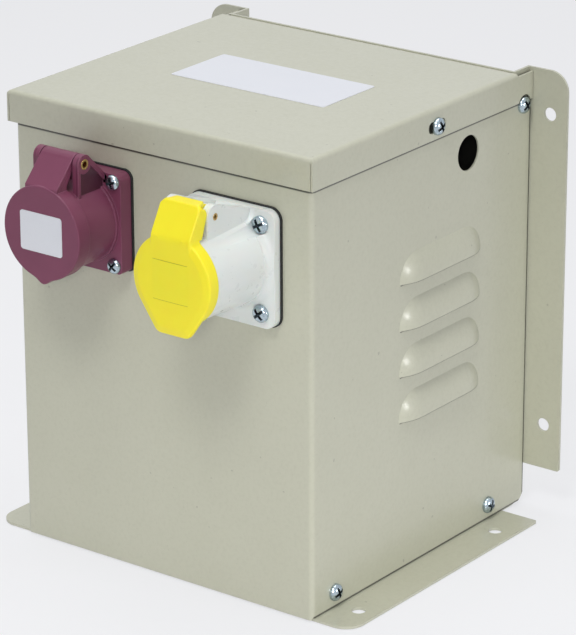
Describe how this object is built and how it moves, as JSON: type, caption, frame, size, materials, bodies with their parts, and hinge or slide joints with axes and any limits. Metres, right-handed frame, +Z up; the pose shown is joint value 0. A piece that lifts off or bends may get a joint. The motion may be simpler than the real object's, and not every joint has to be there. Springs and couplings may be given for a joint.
{
  "type": "site_transformer",
  "caption": "Site transformer in a folded pebble grey steel case with louvred sides, a purple 24 V outlet and a white 110 V outlet with a yellow lid",
  "frame": {"origin": "on the floor plane, in the middle of the four floor fixing holes", "axes": "+X to the right as seen from the front, +Y from the front towards the wall, +Z up"},
  "size_m": [0.2556, 0.268, 0.2683],
  "materials": {
    "case_paint": "satin",
    "label_plate": "gloss",
    "plated_screw": "polished",
    "zinc_steel": "satin",
    "spring_steel": "satin",
    "black_rubber": "matte",
    "purple_plastic": "gloss",
    "white_plastic": "gloss",
    "yellow_plastic": "gloss",
    "brass": "satin",
    "core_steel": "matte",
    "black_plastic": "matte",
    "copper_wire": "gloss",
    "insulation_film": "matte",
    "clamp_paint": "satin",
    "cream_plastic": "satin",
    "red_sleeve": "satin",
    "violet_sleeve": "satin",
    "dark_sleeve": "satin",
    "green_sleeve": "satin"
  },
  "bodies": {
    "case": {"chassis": "case_paint", "cover": "case_paint", "top_lid": "case_paint", "rating_plate": "label_plate", "cover_screws": "plated_screw", "cover_weld_nuts": "zinc_steel", "lid_screws": "plated_screw", "lid_weld_nuts": "zinc_steel", "outlet_24v_gasket": "black_rubber", "outlet_24v_housing": "purple_plastic", "outlet_24v_insert": "purple_plastic", "outlet_24v_contacts": "brass", "outlet_24v_terminal_screws": "zinc_steel", "outlet_24v_flange_screws": "plated_screw", "outlet_24v_flange_nuts": "zinc_steel", "outlet_24v_hinge_pin": "brass", "outlet_24v_spring": "spring_steel", "outlet_110v_gasket": "black_rubber", "outlet_110v_housing": "white_plastic", "outlet_110v_insert": "white_plastic", "outlet_110v_contacts": "brass", "outlet_110v_terminal_screws": "zinc_steel", "outlet_110v_flange_screws": "plated_screw", "outlet_110v_flange_nuts": "zinc_steel", "outlet_110v_hinge_pin": "brass", "outlet_110v_spring": "spring_steel", "core_e_stack": "core_steel", "core_i_stack": "core_steel", "coil_bobbin": "black_plastic", "secondary_winding": "copper_wire", "winding_insulation": "insulation_film", "primary_winding": "copper_wire", "coil_wrap": "insulation_film", "lower_clamp_angles": "clamp_paint", "upper_clamp_angles": "clamp_paint", "core_bolts": "zinc_steel", "core_nuts": "zinc_steel", "foot_bolts": "zinc_steel", "foot_nuts": "zinc_steel", "thermal_cutout": "cream_plastic", "terminal_block": "cream_plastic", "terminal_clamps": "brass", "terminal_screws": "zinc_steel", "terminal_block_bolts": "zinc_steel", "earth_stud": "brass", "earth_nuts": "brass", "winding_leads": "red_sleeve", "outlet_24v_leads": "violet_sleeve", "outlet_110v_leads": "dark_sleeve", "earth_leads": "green_sleeve"},
    "lid_24v": {"outlet_24v_lid": "purple_plastic", "outlet_24v_lid_seal": "black_rubber", "outlet_24v_lid_plate": "label_plate"},
    "lid_110v": {"outlet_110v_lid": "yellow_plastic", "outlet_110v_lid_seal": "black_rubber"}
  },
  "joints": [
    {"name": "outlet_24v_lid_hinge", "type": "hinge", "parent": "case", "child": "lid_24v", "pos_m": [-0.0463, -0.1195, 0.2458], "axis": [-1, 0, 0], "range_deg": [0, 105], "stiffness_Nm_per_rad": 0.05, "springref_deg": -34.38},
    {"name": "outlet_110v_lid_hinge", "type": "hinge", "parent": "case", "child": "lid_110v", "pos_m": [0.0529, -0.1285, 0.2382], "axis": [-1, 0, 0], "range_deg": [0, 105], "stiffness_Nm_per_rad": 0.05, "springref_deg": -34.38}
  ]
}
